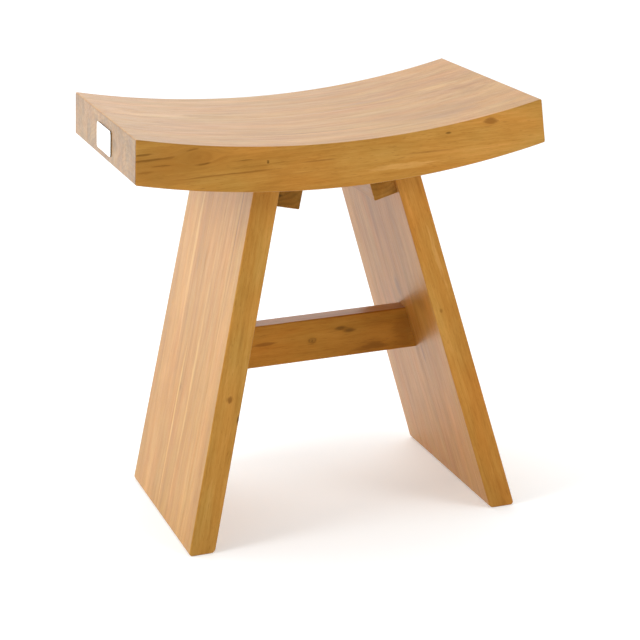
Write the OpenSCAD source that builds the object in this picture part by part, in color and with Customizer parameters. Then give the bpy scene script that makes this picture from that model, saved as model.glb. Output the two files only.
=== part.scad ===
// Dipped-seat shower stool in solid teak, glued and screwed together.
// Origin: on the floor, under the centre of the seat. +Z up, X along the seat, front at -Y.

/* [Seat] */
// Length of the seat over its ends, measured along its underside
seat_w = 450; // [360:1:560]
// Depth of the seat from front to back
seat_d = 297; // [240:1:380]
// Height of the seat's upper end corners above the floor
seat_end_h = 464; // [380:1:580]
// Thickness of the seat, measured straight down
seat_t = 48; // [38:1:62]
// Radius of the dip, the same above and below
dip_r = 1015; // [800:5:2000]
// Angle of the seat's ends off upright, wider at the bottom
end_rake = 4.25; // [0:0.25:12]
// Width of the front seat board
front_board_w = 61; // [45:1:76]
// Width of the seat board behind the front one
mid_front_board_w = 105; // [80:1:128]
// Width of the third seat board; the back board is what remains
mid_back_board_w = 66; // [40:1:80]

/* [Legs] */
// Distance between the outer faces of the legs at the floor
foot_span = 379; // [330:1:470]
// Depth of each leg at the floor
leg_foot_d = 262; // [215:1:320]
// Thickness of each leg
leg_t = 28.5; // [23:0.5:36]
// Angle each leg leans in from upright
leg_splay = 13.9; // [6:0.1:17]
// Angle each leg's front and back edges lean in from upright
leg_taper = 2; // [0:0.1:3.5]
// Width of each leg's narrow board at the floor
narrow_board_w = 47; // [30:1:60]
// Width of each leg's middle board; the wide board is what remains
mid_board_w = 104; // [80:1:125]

/* [Stretcher] */
// Thickness of the stretcher from front to back
stretcher_t = 25; // [18:1:30]
// Height of the stretcher's section
stretcher_h = 48; // [34:1:70]
// Height of the stretcher's lower face above the floor
stretcher_z = 163; // [120:1:220]
// Thickness of the stub tenons
tenon_t = 12; // [8:1:14]
// Height of the stub tenons
tenon_h = 30; // [20:1:32]
// How far the stub tenons reach into the legs
tenon_l = 15; // [10:1:17]
// Room left past the end of each tenon, for glue
tenon_gap = 1; // [0.5:0.5:2]

/* [Cleats] */
// Width of the cleats' section
cleat_w = 27; // [22:1:30]
// Height of the cleats' section where it meets the leg
cleat_h = 24; // [20:1:32]
// How far the cleats' ends sit in from the legs' edges
cleat_inset = 6; // [2:1:20]

/* [Dowels and screws] */
// Diameter of the dowels between the legs and the seat
dowel_d = 10; // [6:1:12]
// How far the dowels reach into the legs
dowel_in_leg = 28; // [18:1:34]
// How far the dowels reach into the seat
dowel_in_seat = 22; // [14:1:28]
// Room left past each end of a dowel, for glue
dowel_gap = 1; // [0.5:0.5:2]
// Distance from the middle of a leg's depth to its inner dowels
dowel_inner_y = 46; // [36:1:50]
// Distance from the edge of a leg's top to its outer dowels
dowel_edge = 16.5; // [12:0.5:20]
// Shank diameter of the screws
screw_d = 4; // [3:0.5:5]
// Head diameter of the screws
screw_head_d = 8; // [6.5:0.5:9]
// Length of the screws
screw_l = 38; // [34:1:40]
// How much wider than its screw each hole through a cleat is
screw_clear = 0.4; // [0.2:0.1:1]
// Distance past the inner dowels to the outer screws that go into the leg
leg_screw_gap = 14; // [12:0.5:16]

/* [End plate] */
// Width of the blank plate on the seat's left end
plate_w = 66; // [40:1:90]
// Height of the blank plate
plate_h = 28; // [18:1:30]
// Thickness of the blank plate
plate_t = 1.2; // [0.6:0.2:2]
// Radius of the plate's corners
plate_r = 4.5; // [2:0.5:8]
// Distance from the seat's lower edge up to the plate
plate_edge = 7.5; // [4:0.5:8]
// How far the plate sits forward of the middle of the end
plate_forward = 4; // [0:1:20]

/* [Hidden] */
$fn = 96;

dip_fn = 600;                                   // sides on the long arcs
over = 20;                                      // how far a cutting shape runs past what it cuts
far = 2000;                                     // bigger than the stool, for half spaces

// Heights of the dip. Both faces are arcs of one radius, seat_t apart.
top_half_w = seat_w / 2 - seat_t * tan(end_rake);
top_centre_z = seat_end_h + sqrt(dip_r * dip_r - top_half_w * top_half_w);
under_centre_z = top_centre_z - seat_t;
function under_z(x) = under_centre_z - sqrt(dip_r * dip_r - x * x);
end_under_z = under_z(seat_w / 2);

// Lines between the seat boards, from front to back
seat_lines = [
    -seat_d / 2,
    -seat_d / 2 + front_board_w,
    -seat_d / 2 + front_board_w + mid_front_board_w,
    -seat_d / 2 + front_board_w + mid_front_board_w + mid_back_board_w,
    seat_d / 2
];
seat_tones = ["#d9b48c", "#d6ae84", "#dcb88f", "#d4ab80"];

// Lines between the right leg's boards, from front to back. The left leg is the same, half a turn round.
narrow_line = leg_foot_d / 2 - narrow_board_w;
leg_lines = [-far, narrow_line - mid_board_w, narrow_line, far];
leg_tones = ["#d3a577", "#d8ad80", "#cf9f70"];

// Distance along a leg, at depth "inner" from its outer face, up to the seat's underside
function leg_reach(inner) =
    let (
        px = foot_span / 2 - inner * cos(leg_splay),
        pz = -inner * sin(leg_splay),
        b = -px * sin(leg_splay) + (pz - under_centre_z) * cos(leg_splay),
        c = px * px + (pz - under_centre_z) * (pz - under_centre_z) - dip_r * dip_r
    )
    -b - sqrt(b * b - c);

leg_mid_reach = leg_reach(leg_t / 2);           // to the seat, along the middle of a leg's thickness
leg_top_half_d = leg_foot_d / 2 - leg_mid_reach * tan(leg_taper);
cleat_len = 2 * (leg_top_half_d - cleat_inset);
cleat_base = leg_reach(leg_t) - cleat_h;        // along the leg, to a cleat's lower face
head_h = (screw_head_d - screw_d) / 2;          // a 90 degree countersunk head
dowel_outer_y = leg_top_half_d - dowel_edge;
dowel_ys = [-dowel_outer_y, -dowel_inner_y, dowel_inner_y, dowel_outer_y];
leg_screw_outer_y = dowel_inner_y + leg_screw_gap;
leg_screw_ys = [-leg_screw_outer_y, 0, leg_screw_outer_y];
seat_screw_y = (leg_screw_outer_y + cleat_len) / 3; // clear of the seat's glue lines and the cleat's end
seat_screw_ys = [-seat_screw_y, seat_screw_y];

// Distance from the stool's centre to a leg's inner face, at a height
function inner_face_x(z) = foot_span / 2 - leg_t / cos(leg_splay) - z * tan(leg_splay);
stretcher_mid_z = stretcher_z + stretcher_h / 2;
tenon_end = inner_face_x(stretcher_mid_z) + tenon_l;

// The right leg's own frame: X out through its outer face, Y back, Z up along the leg
module leg_frame() {
    translate([foot_span / 2, 0, 0])
        rotate([0, -leg_splay, 0])
            children();
}

// Half a turn about the stool's upright axis, which makes the left side from the right
module left_side() {
    rotate([0, 0, 180])
        children();
}

// Everything above the seat's underside
module above_underside() {
    translate([0, far / 2, under_centre_z])
        rotate([90, 0, 0])
            cylinder(h = far, r = dip_r, $fn = dip_fn);
}

// The seat seen from the front: two arcs of one radius between the raked ends
module seat_outline() {
    top_z = seat_end_h + over;
    low_z = end_under_z - over;
    grow = tan(end_rake);
    low_half_w = seat_w / 2 + (end_under_z - low_z) * grow;
    high_half_w = seat_w / 2 - (top_z - end_under_z) * grow;
    mid_half_w = seat_w / 3;
    deep_z = under_z(0) - over;
    difference() {
        intersection() {
            translate([0, under_centre_z])
                circle(r = dip_r, $fn = dip_fn);
            polygon([
                [-high_half_w, top_z], [-low_half_w, low_z], [-mid_half_w, deep_z],
                [mid_half_w, deep_z], [low_half_w, low_z], [high_half_w, top_z]
            ]);
        }
        translate([0, top_centre_z])
            circle(r = dip_r, $fn = dip_fn);
    }
}

// Bores up into the seat for the dowels, and pilot holes for the screws
module seat_holes() {
    for (side = [0, 180])
        rotate([0, 0, side])
            leg_frame() {
                for (y = dowel_ys)
                    translate([-leg_t / 2, y, leg_mid_reach - over])
                        cylinder(h = over + dowel_in_seat + dowel_gap, d = dowel_d);
                for (y = seat_screw_ys)
                    translate([-leg_t - cleat_w / 2, y, cleat_base])
                        cylinder(h = screw_l, d = screw_d);
            }
}

// Seat board n, counted from the front
module seat_board(n) {
    y0 = seat_lines[n];
    board_w = seat_lines[n + 1] - y0;
    color(seat_tones[n])
        difference() {
            translate([0, y0 + board_w, 0])
                rotate([90, 0, 0])
                    linear_extrude(height = board_w)
                        seat_outline();
            seat_holes();
        }
}

// The whole right leg, with its mortise, dowel bores and pilot holes
module leg_blank() {
    long = leg_mid_reach + 2 * leg_t;
    low_half = leg_foot_d / 2 + over * tan(leg_taper);
    high_half = leg_foot_d / 2 - long * tan(leg_taper);
    difference() {
        leg_frame()
            difference() {
                rotate([90, 0, -90])
                    linear_extrude(height = leg_t)
                        polygon([
                            [-low_half, -over], [low_half, -over],
                            [high_half, long], [-high_half, long]
                        ]);
                for (y = dowel_ys)
                    translate([-leg_t / 2, y, leg_mid_reach - dowel_in_leg - dowel_gap])
                        cylinder(h = far, d = dowel_d);
                for (y = leg_screw_ys)
                    translate([-leg_t - cleat_w, y, cleat_base + cleat_h / 2])
                        rotate([0, 90, 0])
                            cylinder(h = screw_l, d = screw_d);
            }
        above_underside();
        translate([-far / 2, -far / 2, -far])
            cube([far, far, far]);
        translate([0, -tenon_t / 2, stretcher_mid_z - tenon_h / 2])
            cube([tenon_end + tenon_gap, tenon_t, tenon_h]);
    }
}

// Board n of the right leg, counted from the front
module leg_board(n) {
    y0 = leg_lines[n];
    color(leg_tones[n])
        intersection() {
            leg_blank();
            translate([0, y0, -over])
                cube([far, leg_lines[n + 1] - y0, far]);
        }
}

// Stretcher cut to the legs' lean, with a stub tenon at each end
module stretcher() {
    low = inner_face_x(stretcher_z);
    high = inner_face_x(stretcher_z + stretcher_h);
    color("#c08a4c") {
        union() {
            translate([0, stretcher_t / 2, 0])
                rotate([90, 0, 0])
                    linear_extrude(height = stretcher_t)
                        polygon([
                            [-low, stretcher_z], [low, stretcher_z],
                            [high, stretcher_z + stretcher_h], [-high, stretcher_z + stretcher_h]
                        ]);
            translate([-tenon_end, -tenon_t / 2, stretcher_mid_z - tenon_h / 2])
                cube([2 * tenon_end, tenon_t, tenon_h]);
        }
    }
}

// The right cleat: square against the leg, its top cut to the seat's underside
module cleat() {
    color("#b98446")
        difference() {
            leg_frame()
                difference() {
                    translate([-leg_t - cleat_w, -cleat_len / 2, cleat_base])
                        cube([cleat_w, cleat_len, 2 * cleat_h]);
                    for (y = leg_screw_ys)
                        translate([-leg_t - cleat_w, y, cleat_base + cleat_h / 2])
                            rotate([0, 90, 0])
                                screw_way();
                    for (y = seat_screw_ys)
                        translate([-leg_t - cleat_w / 2, y, cleat_base])
                            screw_way();
                }
            above_underside();
        }
}

// Clearance hole and countersink for one screw, entered from Z = 0
module screw_way() {
    translate([0, 0, -over])
        cylinder(h = far / 10, d = screw_d + screw_clear);
    cylinder(h = head_h, d1 = screw_head_d, d2 = screw_d);
}

// One countersunk screw with a cross recess, its head flush with Z = 0
module screw() {
    recess_w = screw_head_d / 8;
    recess_l = screw_head_d * 0.55;
    recess_h = head_h * 0.8;
    tip_h = screw_d;
    difference() {
        union() {
            cylinder(h = head_h, d1 = screw_head_d, d2 = screw_d);
            cylinder(h = screw_l - tip_h, d = screw_d);
            translate([0, 0, screw_l - tip_h])
                cylinder(h = tip_h, d1 = screw_d, d2 = screw_d / 4);
        }
        for (turn = [0, 90])
            rotate([0, 0, turn])
                translate([-recess_l / 2, -recess_w / 2, -over])
                    cube([recess_l, recess_w, over + recess_h]);
    }
}

// Dowels from the legs' tops into the seat
module leg_dowels() {
    color("#c99a62")
        for (side = [0, 180])
            rotate([0, 0, side])
                leg_frame()
                    for (y = dowel_ys)
                        translate([-leg_t / 2, y, leg_mid_reach - dowel_in_leg])
                            cylinder(h = dowel_in_leg + dowel_in_seat, d = dowel_d);
}

// Screws from the cleats into the legs
module cleat_to_leg_screws() {
    color("#c3c5c6")
        for (side = [0, 180])
            rotate([0, 0, side])
                leg_frame()
                    for (y = leg_screw_ys)
                        translate([-leg_t - cleat_w, y, cleat_base + cleat_h / 2])
                            rotate([0, 90, 0])
                                screw();
}

// Screws from the cleats up into the seat
module cleat_to_seat_screws() {
    color("#c3c5c6")
        for (side = [0, 180])
            rotate([0, 0, side])
                leg_frame()
                    for (y = seat_screw_ys)
                        translate([-leg_t - cleat_w / 2, y, cleat_base])
                            screw();
}

// Blank plate with round corners, flat on the seat's left end
module end_plate() {
    color("#f4f4f2")
        translate([-seat_w / 2, -plate_forward, end_under_z])
            rotate([0, end_rake, 0])
                translate([0, 0, plate_edge + plate_h / 2])
                    rotate([0, -90, 0])
                        linear_extrude(height = plate_t)
                            rounded_rect(plate_h, plate_w, plate_r);
}

// Rectangle with round corners, centred
module rounded_rect(x, y, r) {
    square([x - 2 * r, y], center = true);
    square([x, y - 2 * r], center = true);
    for (i = [-1, 1], j = [-1, 1])
        translate([i * (x / 2 - r), j * (y / 2 - r)])
            circle(r = r);
}

seat_board(0);  // seat_board_front
seat_board(1);  // seat_board_mid_front
seat_board(2);  // seat_board_mid_back
seat_board(3);  // seat_board_back
left_side() leg_board(2);  // left_leg_board_front
left_side() leg_board(1);  // left_leg_board_mid
left_side() leg_board(0);  // left_leg_board_back
leg_board(0);  // right_leg_board_front
leg_board(1);  // right_leg_board_mid
leg_board(2);  // right_leg_board_back
stretcher();
left_side() cleat();  // left_cleat
cleat();  // right_cleat
leg_dowels();
cleat_to_leg_screws();
cleat_to_seat_screws();
end_plate();
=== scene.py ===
import math
import bmesh
import bpy
from mathutils import Euler, Matrix, Vector


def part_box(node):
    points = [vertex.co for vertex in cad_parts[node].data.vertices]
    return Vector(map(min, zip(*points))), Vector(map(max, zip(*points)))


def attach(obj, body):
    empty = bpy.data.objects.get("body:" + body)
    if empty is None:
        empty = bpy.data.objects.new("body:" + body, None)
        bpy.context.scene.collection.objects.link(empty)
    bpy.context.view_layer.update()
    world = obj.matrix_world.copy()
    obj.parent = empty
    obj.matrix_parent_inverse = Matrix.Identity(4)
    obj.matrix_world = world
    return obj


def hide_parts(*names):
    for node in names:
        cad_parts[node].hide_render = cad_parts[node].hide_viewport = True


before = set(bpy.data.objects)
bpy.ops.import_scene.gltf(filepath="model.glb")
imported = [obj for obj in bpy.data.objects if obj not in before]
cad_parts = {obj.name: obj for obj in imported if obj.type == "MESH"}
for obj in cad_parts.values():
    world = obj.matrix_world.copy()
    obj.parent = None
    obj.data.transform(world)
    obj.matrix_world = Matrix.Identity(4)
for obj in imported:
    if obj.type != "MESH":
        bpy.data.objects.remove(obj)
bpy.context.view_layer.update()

print("frame loaded:", len(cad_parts), "nodes")

mm = 0.001
sharp = math.radians(50)  # faces that meet at more than this have a hard edge between them
near = dict(cut=1e-7, weld=1e-6)  # vertices this close to a cut are on it, and this close together are one

# places that every piece works from, all taken from the frame
seatLow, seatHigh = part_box("seat_board_front")
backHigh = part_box("seat_board_back")[1]
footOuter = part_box("right_leg_board_front")[1].x
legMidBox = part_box("right_leg_board_mid")
railLow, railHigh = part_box("stretcher")
plateLow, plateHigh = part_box("end_plate")
cleatLow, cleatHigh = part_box("right_cleat")

dip = dict(radius=1015 * mm, thick=48 * mm, rake=math.radians(4.25))
leg = dict(thick=28.5 * mm, splay=math.radians(13.9), taper=math.radians(2.0))

underCentre = seatLow.z + dip["radius"]
topCentre = underCentre + dip["thick"]


def arcHeight(x, centre):  # height of a dip face at x
    return centre - math.sqrt(dip["radius"] ** 2 - x * x)


def legReach(inner):  # distance up a leg to the seat, this far in from its outer face
    px = footOuter - inner * math.cos(leg["splay"])
    pz = -inner * math.sin(leg["splay"]) - underCentre
    b = -px * math.sin(leg["splay"]) + pz * math.cos(leg["splay"])
    return -b - math.sqrt(b * b - px * px - pz * pz + dip["radius"] ** 2)


def innerFace(z):  # distance from the middle to a leg's inner face
    return footOuter - leg["thick"] / math.cos(leg["splay"]) - z * math.tan(leg["splay"])


# the right leg's own frame: X out through its outer face, Y back, Z up along the leg
legFrame = Matrix.Translation((footOuter, 0, 0)) @ Matrix.Rotation(-leg["splay"], 4, "Y")
# what takes the right leg and cleat to each side
sideTurns = dict(right=Matrix.Identity(4), left=Matrix.Rotation(math.pi, 4, "Z"))


eye = dict(azimuth=-18.86, elevation=16.55, roll=-1.94, distance=2.468, aim=(0.0813, 0, 0.1962),
           lens=121.4, shift=-0.09375, far=60)


def makeCamera():
    az, el = math.radians(eye["azimuth"]), math.radians(eye["elevation"])
    back = Vector((math.sin(az) * math.cos(el), -math.cos(az) * math.cos(el), math.sin(el)))
    right = Vector((0, 0, 1)).cross(back).normalized()
    turn = Matrix((right, back.cross(right), back)).transposed()
    turn = turn @ Matrix.Rotation(math.radians(eye["roll"]), 3, "Z")
    data = bpy.data.cameras.new("camera")
    data.lens = eye["lens"]
    data.shift_x = eye["shift"]
    data.clip_end = eye["far"]
    camera = bpy.data.objects.new("camera", data)
    camera.matrix_world = Matrix.Translation(Vector(eye["aim"]) + back * eye["distance"]) @ turn.to_4x4()
    bpy.context.scene.collection.objects.link(camera)
    bpy.context.scene.camera = camera


makeCamera()
print("camera placed")


def linear(code):  # sRGB hex to linear RGBA
    values = [int(code[i:i + 2], 16) / 255 for i in (1, 3, 5)]
    return [v / 12.92 if v <= 0.04045 else ((v + 0.055) / 1.055) ** 2.4 for v in values] + [1]


def newMaterial(name):  # with an empty node tree
    material = bpy.data.materials.new(name)
    material.use_nodes = True
    material.node_tree.nodes.clear()
    return material, material.node_tree


def add(tree, kind, settings=None, **links):  # one node, its settings, then its inputs by name or _number
    made = tree.nodes.new("ShaderNode" + kind)
    for key, value in (settings or {}).items():
        if key in made.inputs:
            made.inputs[key].default_value = value
        else:
            setattr(made, key, value)
    for key, source in links.items():
        socket = made.inputs[int(key[1:])] if key[0] == "_" else made.inputs[key.replace("_", " ")]
        if isinstance(source, bpy.types.NodeSocket):
            tree.links.new(source, socket)
        else:
            socket.default_value = source
    return made


def ramp(made, stops, curve="LINEAR"):  # stops: (place, hex colour or grey)
    made.color_ramp.interpolation = curve
    while len(made.color_ramp.elements) < len(stops):
        made.color_ramp.elements.new(0.5)
    for element, (place, colour) in zip(made.color_ramp.elements, stops):
        element.position = place
        element.color = linear(colour) if isinstance(colour, str) else (colour, colour, colour, 1)


# oiled teak: plantation teak, planed, sanded fine and wiped with oil. It gives long soft streaks from the
# fibres, short dark dashes from the open pores, and a low sheen that turns milky at a shallow angle
# the darkest tone colours the knots, and is also painted shade in the corner where the left cleat's end meets
# its leg
teakTones = dict(pale="#c1904c", straw="#b2823e", honey="#a67533", brown="#8f5f25", streak="#74481b",
                 knotAndCornerShade="#3f230c", light="#d8ae6c")
seedStep = 613.0  # mm along the log between one board's wood and the next one's
teakRings = dict(apart=5.0, brown=[(0.0, 0.4), (0.15, 0.1), (0.6, 0.35), (0.9, 0.9), (1.0, 0.4)])
# streaks: width in mm, length over width, detail, and the noise that counts as none and as all
teakStreaks = dict(
    band=dict(width=34.0, run=9.0, detail=2.0, none=0.25, full=0.75),
    mottle=dict(width=13.0, run=3.0, detail=3.0, none=0.3, full=0.7),
    narrow=dict(width=6.0, run=18.0, detail=3.0, none=0.25, full=0.75),
    fibre=dict(width=1.1, run=18.0, detail=3.0, none=0.28, full=0.72),
    pore=dict(width=0.8, run=12.0, detail=1.0, none=0.6, full=0.74),
    mineral=dict(width=4.0, run=20.0, detail=4.0, none=0.6, full=0.8),
    drift=dict(width=26.0, run=4.0, detail=2.0, none=0.3, full=0.7),
    patch=dict(width=17.0, run=1.5, detail=1.0, none=0.4, full=0.6))
teakBrown = dict(band=0.38, mottle=0.15, narrow=0.16, fibre=0.18, late=0.13)  # what each adds to the brown
teakInk = dict(mineral=0.3, pore=0.34)  # how strongly each is drawn over the wood
teakWander = dict(along=0.07, scale=0.022, reach=22)  # a wander is about 45 mm wide and moves the rings 11 mm
teakDrift = ((1.06, 0.95, 0.86, 1), (0.97, 1.03, 1.06, 1))
# marks: solid core and faded edge over the mark's size, and how ragged its fibres leave that edge
teakMark = dict(core=0.35, edge=1.2, fibre=0.7, none=0.3, full=1.4, ragged=0.6)
# a knot pushes the grain aside out to its reach, and one with a strong swirl has loops in it
teakKnot = dict(reach=2.6, along=0.2, loopsFrom=0.65, loops=9.0, faint=0.35)
teakEnd = dict(none=0.6, full=0.95, dark=-0.34, late=-0.16, patch=-0.16)  # how end grain darkens
teakFinish = dict(ior=1.5, gloss=(0.30, 0.39), pore=-0.8, bump=0.1 * mm, bumpShare=0.3, wave=0.16 * mm,
                  tint="#fdbd62")


def teak(name, grain, across, centre, seed, pith, tilt, tint=(1, 1, 1), marks=()):
    material, tree = newMaterial(name)
    grain, across = Vector(grain).normalized(), Vector(across).normalized()
    turn = Euler((0, math.radians(tilt[0]), math.radians(tilt[1]))).to_matrix()
    turn = turn @ Matrix((grain, across, grain.cross(across)))
    shift = Vector((seed * seedStep, pith[0], pith[1])) - turn @ (Vector(centre) / mm)
    coords = add(tree, "TexCoord")
    point = add(tree, "Mapping", dict(Location=shift, Rotation=turn.to_euler(), Scale=(1 / mm,) * 3),
                Vector=coords.outputs["Object"]).outputs[0]

    # marks: each is a long soft spot along the grain; a knot also pushes the grain round itself
    inks = []
    for mark in marks:
        place = turn @ Vector(mark["at"]) + shift
        away = add(tree, "VectorMath", dict(operation="SUBTRACT"), _0=point, _1=place).outputs[0]
        size = (1 / mark["long"], 1 / mark["wide"], 1 / mark.get("deep", mark["wide"]))
        reach = add(tree, "VectorMath", dict(operation="MULTIPLY"), _0=away, _1=size).outputs[0]
        reach = add(tree, "VectorMath", dict(operation="LENGTH"), _0=reach).outputs["Value"]
        if "swirl" in mark:
            pull = add(tree, "MapRange", dict(interpolation_type="SMOOTHERSTEP"), Value=reach,
                       _1=0.0, _2=teakKnot["reach"], _3=mark["swirl"], _4=0.0).outputs[0]
            push = add(tree, "VectorMath", dict(operation="MULTIPLY"), _0=away,
                       _1=(teakKnot["along"], 1, 1)).outputs[0]
            push = add(tree, "VectorMath", dict(operation="SCALE"), _0=push, Scale=pull).outputs[0]
            point = add(tree, "VectorMath", dict(operation="SUBTRACT"), _0=point, _1=push).outputs[0]
        inks.append((mark, reach))

    # the tree's own slow wander, then rings about its pith
    slow = add(tree, "VectorMath", dict(operation="MULTIPLY"), _0=point,
               _1=(teakWander["along"], 1, 1)).outputs[0]
    wander = add(tree, "TexNoise", dict(Scale=teakWander["scale"], Detail=2.0, Roughness=0.45),
                 Vector=slow).outputs[1]
    wander = add(tree, "VectorMath", dict(operation="SUBTRACT"), _0=wander, _1=(0.5, 0.5, 0.5)).outputs[0]
    wander = add(tree, "VectorMath", dict(operation="MULTIPLY"), _0=wander,
                 _1=(0, teakWander["reach"], teakWander["reach"])).outputs[0]
    wood = add(tree, "VectorMath", dict(operation="ADD"), _0=point, _1=wander).outputs[0]
    # a wave texture's rings stand pi / 10 apart at a scale of 1
    rings = add(tree, "TexWave", dict(wave_type="RINGS", rings_direction="X", wave_profile="SAW",
                Scale=math.pi / 10 / teakRings["apart"], Distortion=0.0), Vector=wood).outputs["Fac"]
    late = add(tree, "ValToRGB", None, Fac=rings)
    ramp(late, teakRings["brown"], "B_SPLINE")

    # streaks of several widths, most of them much longer than they are wide
    parts = dict(late=late.outputs[0])
    for kind, streak in teakStreaks.items():
        wide = 1 / streak["width"]
        stretch = (1 / (streak["width"] * streak["run"]), wide, wide)
        along = add(tree, "VectorMath", dict(operation="MULTIPLY"), _0=wood, _1=stretch).outputs[0]
        noise = add(tree, "TexNoise", dict(Scale=1.0, Detail=streak["detail"], Roughness=0.6),
                    Vector=along).outputs[0]
        parts[kind] = add(tree, "MapRange", None, Value=noise, _1=streak["none"],
                          _2=streak["full"]).outputs[0]

    # how brown the wood is at each point
    tone = 0.0
    for kind, share in teakBrown.items():
        tone = add(tree, "Math", dict(operation="MULTIPLY_ADD"), _0=parts[kind], _1=share, _2=tone).outputs[0]
    colour = add(tree, "ValToRGB", None, Fac=tone)
    ramp(colour, [(0.18, teakTones["pale"]), (0.4, teakTones["straw"]), (0.6, teakTones["honey"]),
                  (0.86, teakTones["brown"])])
    colour = colour.outputs[0]
    for kind, share in teakInk.items():
        amount = add(tree, "Math", dict(operation="MULTIPLY"), _0=parts[kind], _1=share).outputs[0]
        colour = add(tree, "Mix", dict(data_type="RGBA"), _0=amount, _6=colour,
                     _7=linear(teakTones["streak"])).outputs[2]

    ragged = add(tree, "Math", dict(operation="MULTIPLY_ADD"), _0=parts["fibre"], _1=teakMark["fibre"],
                 _2=parts["narrow"]).outputs[0]
    ragged = add(tree, "MapRange", None, Value=ragged, _1=teakMark["none"], _2=teakMark["full"],
                 _3=-teakMark["ragged"], _4=teakMark["ragged"]).outputs[0]
    for mark, reach in inks:
        edge = add(tree, "Math", dict(operation="ADD"), _0=reach, _1=ragged).outputs[0]
        amount = add(tree, "MapRange", dict(interpolation_type="SMOOTHSTEP"), Value=edge,
                     _1=mark.get("core", teakMark["core"]), _2=teakMark["edge"], _3=mark["share"],
                     _4=0.0).outputs[0]
        if mark.get("swirl", 0) > teakKnot["loopsFrom"]:
            loops = add(tree, "Math", dict(operation="MULTIPLY"), _0=edge, _1=teakKnot["loops"]).outputs[0]
            loops = add(tree, "Math", dict(operation="COSINE"), _0=loops).outputs[0]
            loops = add(tree, "MapRange", None, Value=loops, _1=-1.0, _2=1.0, _3=teakKnot["faint"],
                        _4=1.0).outputs[0]
            amount = add(tree, "Math", dict(operation="MULTIPLY"), _0=amount, _1=loops).outputs[0]
        colour = add(tree, "Mix", dict(data_type="RGBA"), _0=amount, _6=colour,
                     _7=linear(teakTones[mark["ink"]])).outputs[2]

    # a slow drift between rosier and greener wood
    drift = add(tree, "Mix", dict(data_type="RGBA"), _0=parts["drift"], _6=teakDrift[0],
                _7=teakDrift[1]).outputs[2]
    colour = add(tree, "VectorMath", dict(operation="MULTIPLY"), _0=colour, _1=drift).outputs[0]

    # cut across the fibres the wood drinks more oil and goes darker
    facing = add(tree, "VectorMath", dict(operation="DOT_PRODUCT"), _0=coords.outputs["Normal"], _1=grain)
    facing = add(tree, "Math", dict(operation="ABSOLUTE"), _0=facing.outputs["Value"]).outputs[0]
    cross = add(tree, "MapRange", dict(interpolation_type="SMOOTHSTEP"), Value=facing,
                _1=teakEnd["none"], _2=teakEnd["full"], _3=0.0, _4=1.0).outputs[0]
    thirst = add(tree, "Math", dict(operation="MULTIPLY_ADD"), _0=parts["late"], _1=teakEnd["late"],
                 _2=teakEnd["dark"]).outputs[0]
    thirst = add(tree, "Math", dict(operation="MULTIPLY_ADD"), _0=parts["patch"], _1=teakEnd["patch"],
                 _2=thirst).outputs[0]
    depth = add(tree, "Math", dict(operation="MULTIPLY_ADD"), _0=cross, _1=thirst, _2=1.0).outputs[0]
    colour = add(tree, "VectorMath", dict(operation="SCALE"), _0=colour, Scale=depth).outputs[0]
    colour = add(tree, "VectorMath", dict(operation="MULTIPLY"), _0=colour, _1=tint).outputs[0]

    # pores stand a little under the fibres, and the sander leaves the face in low waves
    relief = add(tree, "Math", dict(operation="MULTIPLY_ADD"), _0=parts["pore"], _1=teakFinish["pore"],
                 _2=parts["fibre"]).outputs[0]
    hand = add(tree, "Bump", dict(Strength=1.0, Distance=teakFinish["wave"]),
               Height=parts["mottle"]).outputs[0]
    bump = add(tree, "Bump", dict(Strength=teakFinish["bumpShare"], Distance=teakFinish["bump"]),
               Height=relief, Normal=hand).outputs[0]
    gloss = add(tree, "MapRange", None, Value=parts["narrow"], _1=0.0, _2=1.0, _3=teakFinish["gloss"][0],
                _4=teakFinish["gloss"][1]).outputs[0]
    shader = add(tree, "BsdfPrincipled",
                 {"IOR": teakFinish["ior"], "Specular Tint": linear(teakFinish["tint"])},
                 Base_Color=colour, Roughness=gloss, Normal=bump)
    add(tree, "OutputMaterial", None, Surface=shader.outputs[0])
    return material


def arrises(bm):  # edges where two faces meet sharply
    return [e for e in bm.edges if len(e.link_faces) == 2 and e.calc_face_angle() > sharp]


def ease(bm, edges, radius, steps):
    bmesh.ops.bevel(bm, geom=edges, offset=radius, offset_type="OFFSET", segments=steps, profile=0.5,
                    affect="EDGES", clamp_overlap=True, material=-1)


def slab(low, high):  # closed block between two corners
    bm = bmesh.new()
    bmesh.ops.create_cube(bm, size=1)
    low, high = Vector(low), Vector(high)
    bmesh.ops.scale(bm, verts=bm.verts, vec=high - low)
    bmesh.ops.translate(bm, verts=bm.verts, vec=(low + high) / 2)
    return bm


def cutAcross(bm, places):  # cuts edge loops at these places along X, without parting the block
    for place in places:
        bmesh.ops.bisect_plane(bm, geom=bm.verts[:] + bm.edges[:] + bm.faces[:], dist=near["cut"],
                               plane_co=(place, 0, 0), plane_no=(1, 0, 0))


def keepBetween(bm, low, high, seam):  # keeps the board between two glue lines, capped and barely eased there
    for place, side in ((low, -1), (high, 1)):
        if place is None:
            continue
        cut = bmesh.ops.bisect_plane(bm, geom=bm.verts[:] + bm.edges[:] + bm.faces[:], dist=near["cut"],
                                     plane_co=(0, place, 0), plane_no=(0, side, 0), clear_outer=True)
        rim = [e for e in cut["geom_cut"] if isinstance(e, bmesh.types.BMEdge)]
        bmesh.ops.holes_fill(bm, edges=rim, sides=0)
        ease(bm, rim, seam, 1)
    return bm


def makePiece(name, bm, node, material):
    bmesh.ops.remove_doubles(bm, verts=bm.verts, dist=near["weld"])
    bmesh.ops.recalc_face_normals(bm, faces=bm.faces)
    mesh = bpy.data.meshes.new(name)
    bm.to_mesh(mesh)
    bm.free()
    mesh.shade_smooth()
    mesh.set_sharp_from_angle(angle=sharp)
    mesh.materials.append(material)
    piece = bpy.data.objects.new(name, mesh)
    bpy.context.scene.collection.objects.link(piece)
    finish = piece.modifiers.new("even shading", "WEIGHTED_NORMAL")
    finish.keep_sharp = True
    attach(piece, "root")
    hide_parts(node)


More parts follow.
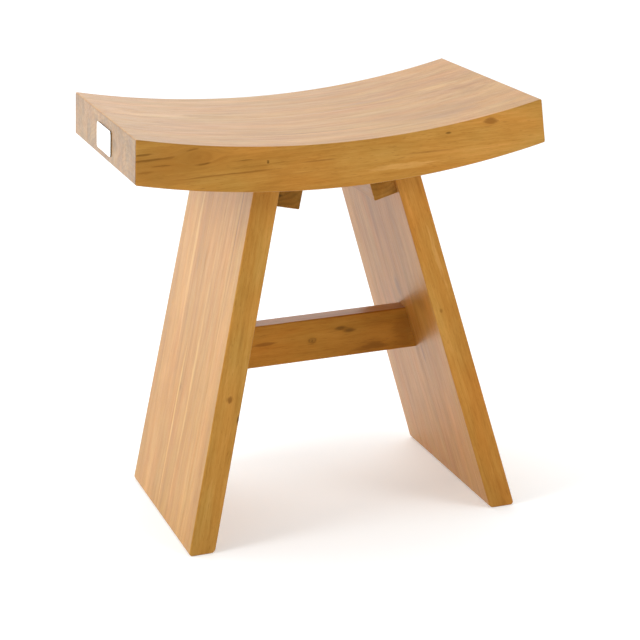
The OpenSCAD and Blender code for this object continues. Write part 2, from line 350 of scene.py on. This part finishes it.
seat = dict(steps=48, ease=1.8 * mm, easeSteps=4, seam=0.15 * mm)
seatLines = [None, seatHigh.y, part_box("seat_board_mid_front")[1].y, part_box("seat_board_mid_back")[1].y, None]
frontFace = seatLow.y / mm


def onTop(x, y):  # a place on the dip, in mm
    return (x, y, arcHeight(x * mm, topCentre) / mm)


def onFront(x, down):  # a place on the seat's front edge, so far under its upper arris
    return (x, frontFace, arcHeight(x * mm, topCentre) / mm - down)


seatBoards = [
    dict(part="front", seed=1, pith=(10, 58), tilt=(0.4, 1.0), marks=[
        dict(at=onFront(-158, 12), long=16, wide=7, swirl=1.2, ink="streak", share=0.4, core=0.1),
        dict(at=onFront(-154, 14), long=7, wide=1.6, ink="knotAndCornerShade", share=0.8, core=0.5),
        dict(at=onFront(-163, 10), long=6, wide=1.2, ink="knotAndCornerShade", share=0.7, core=0.5),
        dict(at=onFront(-210, 20), long=18, wide=1.2, ink="knotAndCornerShade", share=0.95, core=0.6),
        dict(at=onFront(-196, 24), long=14, wide=0.9, ink="knotAndCornerShade", share=0.8, core=0.6),
        dict(at=onFront(-216, 15), long=10, wide=1.1, ink="knotAndCornerShade", share=0.85, core=0.6),
        dict(at=onFront(-190, 16), long=9, wide=0.9, ink="knotAndCornerShade", share=0.65, core=0.6),
        dict(at=onFront(-213, 33), long=9, wide=1.0, ink="streak", share=0.7, core=0.6),
        dict(at=onFront(-110, 14), long=12, wide=0.8, ink="knotAndCornerShade", share=0.5, core=0.6),
        dict(at=onFront(-85, 16), long=1.5, wide=1.8, swirl=0.5, ink="knotAndCornerShade", share=0.75, core=0.4),
        dict(at=onFront(114, 8), long=3.4, wide=1.3, swirl=0.6, ink="knotAndCornerShade", share=0.65, core=0.4),
        dict(at=onFront(162, 6), long=7, wide=4, swirl=0.6, ink="streak", share=0.7),
        dict(at=onFront(-150, 32), long=38, wide=1.1, ink="streak", share=0.65),
        dict(at=onFront(-104, 26), long=26, wide=1.0, ink="streak", share=0.6),
        dict(at=onFront(-30, 17), long=22, wide=0.8, ink="streak", share=0.5),
        dict(at=onFront(60, 33), long=40, wide=3.5, ink="light", share=0.3),
        dict(at=onFront(95, 24), long=34, wide=1.0, ink="streak", share=0.35),
        dict(at=onFront(-200, 24), long=70, wide=30, ink="brown", share=0.6),
        dict(at=onTop(130, -95), long=55, wide=14, ink="streak", share=0.35)]),
    dict(part="mid_front", seed=2, pith=(-18, 44), tilt=(-0.7, 0.5), marks=[
        dict(at=onTop(-25, -87), long=60, wide=2.2, ink="knotAndCornerShade", share=0.6),
        dict(at=onTop(-60, -80), long=22, wide=1.2, ink="streak", share=0.4),
        dict(at=onTop(125, -80), long=70, wide=16, ink="brown", share=0.35),
        dict(at=onTop(55, 16.5), long=50, wide=1.4, ink="streak", share=0.45)]),
    dict(part="mid_back", seed=3, pith=(24, 70), tilt=(0.9, -0.5), marks=[
        dict(at=onTop(-165, 27), long=100, wide=11, ink="light", share=0.28),
        dict(at=onTop(95, 33), long=42, wide=9, ink="streak", share=0.3),
        dict(at=onTop(168, 29), long=30, wide=8, ink="light", share=0.3)]),
    dict(part="back", seed=4, pith=(-8, 52), tilt=(0.6, 0.8), marks=[
        dict(at=onTop(-70, 96), long=50, wide=12, ink="brown", share=0.35)]),
]


def seatBlank():  # the whole seat in one piece, all its arrises eased
    half = seatHigh.x
    topHalf = half - dip["thick"] * math.tan(dip["rake"])
    bm = slab((-half, seatLow.y, 0), (half, backHigh.y, 1))
    cutAcross(bm, [half * (2 * i / seat["steps"] - 1) for i in range(1, seat["steps"])])
    for v in bm.verts:
        upper = v.co.z > 0.5
        if upper:
            v.co.x *= topHalf / half
        v.co.z = arcHeight(v.co.x, topCentre if upper else underCentre)
    ease(bm, arrises(bm), seat["ease"], seat["easeSteps"])
    return bm


def makeSeat():
    blank = seatBlank()
    for i, board in enumerate(seatBoards):
        low, high = seatLines[i], seatLines[i + 1]
        bm = keepBetween(blank.copy(), low, high, seat["seam"])
        node = "seat_board_" + board["part"]
        lo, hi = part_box(node)
        wood = teak("oiled teak, seat " + board["part"].replace("_", " "), (1, 0, 0), (0, 1, 0),
                    (lo + hi) / 2, board["seed"], board["pith"], board["tilt"], marks=board["marks"])
        makePiece("seatBoard_" + board["part"], bm, node, wood)
    blank.free()


makeSeat()
print("seat made")


legTrim = dict(ease=2.0 * mm, easeSteps=3, foot=4.5 * mm, footSteps=5, seam=0.2 * mm, layers=4)
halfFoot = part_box("right_leg_board_back")[1].y
# glue lines of the right leg from front to back, then its boards; the left leg is the right turned round
legLines = [None, legMidBox[0].y, legMidBox[1].y, None]


def onLeftOuter(y, z):  # a place on the left leg's outer face, in mm
    return (-footOuter / mm + z * math.tan(leg["splay"]), y, z)


def onRightInner(y, z):  # a place on the right leg's inner face, in mm
    return (innerFace(z * mm) / mm, y, z)


def onEdge(side, inset, z):  # a place on a leg's front edge, so far in from its outer face
    out = footOuter / mm - z * math.tan(leg["splay"]) - inset / math.cos(leg["splay"])
    return (side * out, -(halfFoot / mm - z * math.tan(leg["taper"])), z)


legTint = dict(right=(1.04, 0.97, 0.92), left=(1.0, 1.0, 1.0))  # the right leg came from a redder tree
legBoards = [
    dict(right="front", left="back", seed=dict(right=11, left=21), pith=(12, 50), tilt=(0.9, -0.7),
         rightMarks=[
        dict(at=onRightInner(-80, 236), long=16, wide=20, ink="brown", share=0.6),
        dict(at=onRightInner(-35, 163), long=14, wide=3, ink="streak", share=0.5),
        dict(at=onEdge(1, 20, 236), long=2.6, wide=1.8, swirl=0.4, ink="streak", share=0.6),
        dict(at=onEdge(1, 8, 300), long=40, wide=2.5, ink="light", share=0.3)],
        leftMarks=[dict(at=onLeftOuter(55, 290), long=90, wide=5, ink="light", share=0.4)]),
    dict(right="mid", left="mid", seed=dict(right=12, left=22), pith=(-16, 38), tilt=(-0.8, 0.6),
         rightMarks=[
        # a dark brown streak down the top of the inner face, under the seat, is painted shade from the seat
        dict(at=onRightInner(16, 320), long=70, wide=7, ink="brown", share=0.6),
        dict(at=onRightInner(-8, 236), long=12, wide=10, swirl=0.5, ink="streak", share=0.55)],
        leftMarks=[
        dict(at=onLeftOuter(18, 110), long=110, wide=3.5, ink="light", share=0.6),
        dict(at=onLeftOuter(12, 145), long=8, wide=3.5, swirl=0.6, ink="streak", share=0.6),
        dict(at=onLeftOuter(-24, 150), long=130, wide=2.5, ink="light", share=0.4),
        dict(at=onLeftOuter(-33, 350), long=12, wide=1.3, ink="streak", share=0.6)]),
    dict(right="back", left="front", seed=dict(right=13, left=23), pith=(6, 64), tilt=(0.4, 0.8),
         rightMarks=[
        dict(at=onRightInner(84, 60), long=70, wide=1.4, ink="streak", share=0.4)],
        leftMarks=[
        dict(at=onLeftOuter(-84, 300), long=130, wide=1.5, ink="knotAndCornerShade", share=0.6, core=0.5),
        dict(at=onEdge(-1, 14, 169), long=4, wide=3, swirl=0.6, ink="streak", share=0.75),
        dict(at=onEdge(-1, 27.5, 146), long=5, wide=1.8, ink="knotAndCornerShade", share=0.8),
        dict(at=onEdge(-1, 15, 240), long=30, wide=2, ink="streak", share=0.3)]),
]


def legBlank():
    top = legReach(leg["thick"] / 2)
    bm = slab((-leg["thick"], -halfFoot, 0), (0, halfFoot, top))
    cutAcross(bm, [-leg["thick"] * i / legTrim["layers"] for i in range(1, legTrim["layers"])])
    for v in bm.verts:
        v.co.z = legReach(-v.co.x) if v.co.z > top / 2 else -v.co.x * math.tan(leg["splay"])
        v.co.y = math.copysign(halfFoot - v.co.z * math.tan(leg["taper"]), v.co.y)
    low = [e for e in arrises(bm) if abs(e.verts[0].co.y - e.verts[1].co.y) > halfFoot
           and e.verts[0].co.z < top / 2]
    ease(bm, low, legTrim["foot"], legTrim["footSteps"])
    around = [e for e in arrises(bm) if (e.verts[0].co.y > 0) == (e.verts[1].co.y > 0)
              and min(v.co.z for v in e.verts) < top / 2]
    ease(bm, around, legTrim["ease"], legTrim["easeSteps"])
    return bm


def makeLegs():
    blank = legBlank()
    up = legFrame.to_3x3() @ Vector((0, 0, 1))
    for i, board in enumerate(legBoards):
        for side, turn in sideTurns.items():
            bm = keepBetween(blank.copy(), legLines[i], legLines[i + 1], legTrim["seam"])
            bmesh.ops.transform(bm, matrix=turn @ legFrame, verts=bm.verts)
            node = side + "_leg_board_" + board[side]
            lo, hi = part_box(node)
            wood = teak("oiled teak, " + side + " leg " + board[side], turn.to_3x3() @ up, (0, 1, 0),
                        (lo + hi) / 2, board["seed"][side], board["pith"], board["tilt"], legTint[side],
                        board[side + "Marks"])
            makePiece(side + "LegBoard_" + board[side], bm, node, wood)
    blank.free()


makeLegs()
print("legs made")


rail = dict(ease=1.8 * mm, easeSteps=3)


def makeStretcher():
    bm = slab((-1, railLow.y, railLow.z), (1, railHigh.y, railHigh.z))
    for v in bm.verts:
        v.co.x = math.copysign(innerFace(v.co.z), v.co.x)
    lengthwise = [e for e in arrises(bm) if e.verts[0].co.x * e.verts[1].co.x < 0]
    ease(bm, lengthwise, rail["ease"], rail["easeSteps"])
    front = railLow.y / mm
    wood = teak("oiled teak, stretcher", (1, 0, 0), (0, 0, 1), (railLow + railHigh) / 2, 31, (8, 46),
                (1.0, 0.7), (0.98, 0.86, 0.62), marks=[
        dict(at=(-4.5, front, 186), long=6, wide=5, swirl=0.7, ink="knotAndCornerShade", share=0.75),
        dict(at=(30, front, 197), long=8, wide=3, ink="knotAndCornerShade", share=0.65),
        dict(at=(40, front, 193), long=9, wide=3, ink="knotAndCornerShade", share=0.65),
        dict(at=(66, front, 172), long=24, wide=8, ink="streak", share=0.7),
        dict(at=(-60, front, 189), long=12, wide=2.6, ink="streak", share=0.7),
        dict(at=(105, front, 184), long=16, wide=30, ink="streak", share=0.45)])
    makePiece("stretcherRail", bm, "stretcher", wood)


cleats = dict(wide=27 * mm, high=24 * mm, ease=1.2 * mm, easeSteps=3, hair=0.01 * mm,
              seed=dict(right=41, left=42))
cleatEnd = cleatLow.y / mm
cleatMarks = dict(right=[
    dict(at=(80, cleatEnd, 388), long=5, wide=7, deep=1.2, ink="knotAndCornerShade", share=0.6)], left=[
    # the next two dark spots, 2 and 3 mm in from the leg's inner face, are painted shade in the corner where the
    # cleat's end meets the leg
    dict(at=(-innerFace(0.39) / mm + 2, cleatEnd, 390), long=12, wide=2.5, deep=3, ink="knotAndCornerShade", share=0.8),
    dict(at=(-innerFace(0.38) / mm + 3, cleatEnd, 381), long=12, wide=2.5, deep=2, ink="knotAndCornerShade", share=0.7),
    dict(at=(-74, cleatEnd, 379), long=8, wide=9, deep=1.2, ink="streak", share=0.7)])


def makeCleats():
    base = legReach(leg["thick"]) - cleats["high"]
    for side, turn in sideTurns.items():
        bm = slab((-leg["thick"] - cleats["wide"], cleatLow.y, base), (-leg["thick"], cleatHigh.y, base + 1))
        for v in bm.verts:
            if v.co.z > base + 0.5:
                v.co.z = legReach(-v.co.x)
        free = -leg["thick"] - cleats["hair"]  # past this an edge isn't against the leg
        bare = [e for e in arrises(bm) if max(v.co.z for v in e.verts) < base + cleats["high"] / 2
                or (e.verts[0].co - e.verts[1].co).z != 0 and e.verts[0].co.x < free]
        ease(bm, bare, cleats["ease"], cleats["easeSteps"])
        bmesh.ops.transform(bm, matrix=turn @ legFrame, verts=bm.verts)
        lo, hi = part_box(side + "_cleat")
        wood = teak("oiled teak, " + side + " cleat", (0, 1, 0), (1, 0, 0), (lo + hi) / 2,
                    cleats["seed"][side], (9, 30), (1, 1), (1.1, 1.0, 0.85), cleatMarks[side])
        makePiece(side + "CleatBar", bm, side + "_cleat", wood)


makeStretcher()
makeCleats()
print("stretcher and cleats made")


# cloud and peel are spots in a metre, so 11 mm and 1.1 mm wide
plate = dict(height=28 * mm, thick=1.2 * mm, corner=4.5 * mm, cornerSteps=6, edge=7.5 * mm, ease=0.35 * mm,
             easeSteps=2, cloud=90.0, peel=900.0)


def glossLabel():  # gloss white ABS face: faint orange peel, sharp highlight, and painted shade in dark grey on its sides
    material, tree = newMaterial("gloss white ABS")
    coords = add(tree, "TexCoord")
    cloud = add(tree, "TexNoise", dict(Scale=plate["cloud"], Detail=2.0),
                Vector=coords.outputs["Object"]).outputs[0]
    colour = add(tree, "ValToRGB", None, Fac=cloud)
    ramp(colour, [(0.3, "#f1f2f2"), (0.7, "#fbfbfa")])
    # painted shade: the sides, whose normals turn away from -X, are coloured dark grey
    side = add(tree, "SeparateXYZ", None, Vector=coords.outputs["Normal"]).outputs[0]
    side = add(tree, "MapRange", None, Value=side, _1=-0.5, _2=-0.2).outputs[0]
    colour = add(tree, "Mix", dict(data_type="RGBA"), _0=side, _6=colour.outputs[0],
                 _7=linear("#4d4846"))
    peel = add(tree, "TexNoise", dict(Scale=plate["peel"], Detail=1.0),
               Vector=coords.outputs["Object"]).outputs[0]
    bump = add(tree, "Bump", dict(Strength=0.05, Distance=0.05 * mm), Height=peel).outputs[0]
    gloss = add(tree, "MapRange", None, Value=cloud, _1=0.3, _2=0.7, _3=0.18, _4=0.24).outputs[0]
    shader = add(tree, "BsdfPrincipled", dict(IOR=1.53), Base_Color=colour.outputs[2], Roughness=gloss,
                 Normal=bump)
    add(tree, "OutputMaterial", None, Surface=shader.outputs[0])
    return material


def makePlate():
    bm = slab((-plate["thick"], plateLow.y, plate["edge"]), (0, plateHigh.y, plate["edge"] + plate["height"]))
    corners = [e for e in bm.edges if abs(e.verts[0].co.x - e.verts[1].co.x) > plate["thick"] / 2]
    ease(bm, corners, plate["corner"], plate["cornerSteps"])
    face = [e for e in arrises(bm) if max(v.co.x for v in e.verts) < -plate["thick"] / 2]
    ease(bm, face, plate["ease"], plate["easeSteps"])
    foot = Vector((seatLow.x, 0, arcHeight(seatLow.x, underCentre)))
    place = Matrix.Translation(foot) @ Matrix.Rotation(dip["rake"], 4, "Y")
    bmesh.ops.transform(bm, matrix=place, verts=bm.verts)
    makePiece("endPlate", bm, "end_plate", glossLabel())


makePlate()
print("plate made")


beech = dict(light="#d9b184", dark="#c4935f", roughness=0.6, fleck=(900, 900, 120))  # flecks in a metre
screwSteel = dict(dark="#b9bbbd", light="#d2d3d4", gloss=(0.26, 0.4), turning=1400.0)  # marks in a metre


def turnedBeech():  # plain beech dowel, steamed and turned: even pinkish buff with fine flecks
    material, tree = newMaterial("turned beech")
    coords = add(tree, "TexCoord")
    fleck = add(tree, "Mapping", dict(Scale=beech["fleck"]), Vector=coords.outputs["Object"]).outputs[0]
    noise = add(tree, "TexNoise", dict(Scale=1.0, Detail=2.0), Vector=fleck).outputs[0]
    colour = add(tree, "ValToRGB", None, Fac=noise)
    ramp(colour, [(0.3, beech["light"]), (0.7, beech["dark"])])
    shader = add(tree, "BsdfPrincipled", dict(Roughness=beech["roughness"]), Base_Color=colour.outputs[0])
    add(tree, "OutputMaterial", None, Surface=shader.outputs[0])
    return material


def brightSteel():  # cold-headed stainless steel: satin, with fine turning marks
    material, tree = newMaterial("cold headed stainless steel")
    coords = add(tree, "TexCoord")
    marks = add(tree, "TexNoise", dict(Scale=screwSteel["turning"], Detail=2.0),
                Vector=coords.outputs["Object"]).outputs[0]
    colour = add(tree, "ValToRGB", None, Fac=marks)
    ramp(colour, [(0.3, screwSteel["dark"]), (0.7, screwSteel["light"])])
    gloss = add(tree, "MapRange", None, Value=marks, _1=0.3, _2=0.7, _3=screwSteel["gloss"][0],
                _4=screwSteel["gloss"][1]).outputs[0]
    shader = add(tree, "BsdfPrincipled", dict(Metallic=1.0), Base_Color=colour.outputs[0], Roughness=gloss)
    add(tree, "OutputMaterial", None, Surface=shader.outputs[0])
    return material


steel = brightSteel()
# dowels and screws keep their own shapes
for node, finish in (("leg_dowels", turnedBeech()), ("cleat_to_leg_screws", steel),
                     ("cleat_to_seat_screws", steel)):
    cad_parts[node].data.materials.clear()
    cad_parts[node].data.materials.append(finish)
print("dowels and screws finished")


stage = dict(size=24, colour="#f0f3f4", glow=0.25, pool=(-1.2, 2.4, 0), poolPower=0.85, poolSize=1.9,
             farFrom=2.6, farTo=5.0, farPower=0.75, roughness=0.9)


def makeFloor():  # matt white table lit a little from below, and more so behind the stool
    bm = bmesh.new()
    bmesh.ops.create_grid(bm, x_segments=1, y_segments=1, size=stage["size"])
    mesh = bpy.data.meshes.new("floor")
    bm.to_mesh(mesh)
    bm.free()
    material = bpy.data.materials.new("matt white acrylic")
    material.use_nodes = True
    tree = material.node_tree
    shader = tree.nodes["Principled BSDF"]
    shader.inputs["Base Color"].default_value = linear(stage["colour"])
    shader.inputs["Roughness"].default_value = stage["roughness"]
    shader.inputs["Specular IOR Level"].default_value = 0.0
    shader.inputs["Emission Color"].default_value = (1, 1, 1, 1)
    coords = add(tree, "TexCoord")
    away = add(tree, "VectorMath", dict(operation="DISTANCE"), _0=coords.outputs["Object"], _1=stage["pool"])
    pool = add(tree, "MapRange", dict(interpolation_type="SMOOTHSTEP"), Value=away.outputs["Value"],
               _1=0.0, _2=stage["poolSize"], _3=stage["poolPower"], _4=0.0).outputs[0]
    out = add(tree, "VectorMath", dict(operation="LENGTH"), _0=coords.outputs["Object"])
    far = add(tree, "MapRange", dict(interpolation_type="SMOOTHSTEP"), Value=out.outputs["Value"],
              _1=stage["farFrom"], _2=stage["farTo"], _3=stage["glow"], _4=stage["farPower"]).outputs[0]
    glow = add(tree, "Math", dict(operation="ADD"), _0=pool, _1=far).outputs[0]
    tree.links.new(glow, shader.inputs["Emission Strength"])
    mesh.materials.append(material)
    floor = bpy.data.objects.new("floor", mesh)
    bpy.context.scene.collection.objects.link(floor)


# a dim white room with bright walls: each is (towards, from, to, power), facing from edge to middle
walls = [((0, 1, 0), -0.2, 0.6, 0.35), ((-0.5, 0.86, 0.1), 0.3, 0.9, 1.0), ((-1, 0, 0), -0.2, 0.6, 0.55),
         ((1, 0, 0), -0.2, 0.6, 0.6)]
room = 0.05
lamps = dict(right=dict(at=(2.2, -1.2, 1.2), size=1.2, power=4),
             left=dict(at=(-2.4, -0.4, 1.6), size=1.2, power=28),
             front=dict(at=(1.4, -1.8, 1.9), size=1.2, power=18),
             back=dict(at=(0, 1.2, 2.4), size=1.6, power=8))
lampAim = Vector((0, 0, 0.25))


def makeLight():
    world = bpy.data.worlds.new("white studio")
    world.use_nodes = True
    tree = world.node_tree
    tree.nodes.clear()
    coords = add(tree, "TexCoord")
    total = room
    for towards, low, high, power in walls:
        facing = add(tree, "VectorMath", dict(operation="DOT_PRODUCT"), _0=coords.outputs["Generated"],
                     _1=Vector(towards).normalized()).outputs["Value"]
        wall = add(tree, "MapRange", dict(interpolation_type="SMOOTHSTEP"), Value=facing, _1=low, _2=high,
                   _3=0.0, _4=power).outputs[0]
        total = add(tree, "Math", dict(operation="ADD"), _0=total, _1=wall).outputs[0]
    seen = add(tree, "LightPath").outputs["Is Camera Ray"]
    strength = add(tree, "Math", dict(operation="MAXIMUM"), _0=total, _1=seen).outputs[0]
    sky = add(tree, "Background", dict(Color=(1, 1, 1, 1)), Strength=strength)
    add(tree, "OutputWorld", None, Surface=sky.outputs[0])
    bpy.context.scene.world = world
    for name, lamp in lamps.items():
        data = bpy.data.lights.new(name, "AREA")
        data.shape = "DISK"
        data.size = lamp["size"]
        data.energy = lamp["power"]
        light = bpy.data.objects.new(name, data)
        light.location = lamp["at"]
        light.rotation_euler = (lampAim - Vector(lamp["at"])).to_track_quat("-Z", "Y").to_euler()
        bpy.context.scene.collection.objects.link(light)


makeFloor()
makeLight()
bpy.context.scene.view_settings.view_transform = "Standard"
print("floor and light made")
